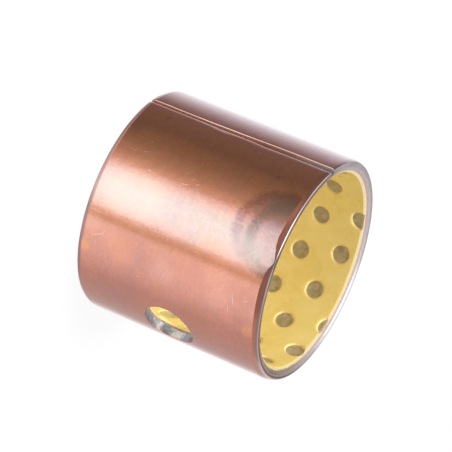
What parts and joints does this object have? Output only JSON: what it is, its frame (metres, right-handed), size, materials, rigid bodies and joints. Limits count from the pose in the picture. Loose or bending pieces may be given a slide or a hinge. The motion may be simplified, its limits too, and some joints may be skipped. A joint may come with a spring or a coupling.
{
  "type": "wrapped plain bushing",
  "caption": "Wrapped plain bushing: copper-plated steel back with a butt seam, bronze interlayer, yellow acetal lining with round grease pockets, and a radial grease hole.",
  "frame": {"origin": "middle of the lower end face, on the axis of the bore", "axes": "+Z along the bore from the end that it stands on; -Y through the middle of the grease hole"},
  "size_m": [0.034, 0.034, 0.03],
  "materials": {
    "copper_plated_steel": "copper flash plating on rolled steel, semi-gloss, lightly stained and scratched; bare steel on the cut faces",
    "sintered_bronze": "sintered bronze powder, granular and matt, olive brown",
    "yellow_acetal": "yellow acetal, smooth and satin, with pressed round pockets"
  },
  "bodies": {
    "root": {"steel_backing": "copper_plated_steel", "bronze_interlayer": "sintered_bronze", "acetal_lining": "yellow_acetal"}
  },
  "joints": []
}
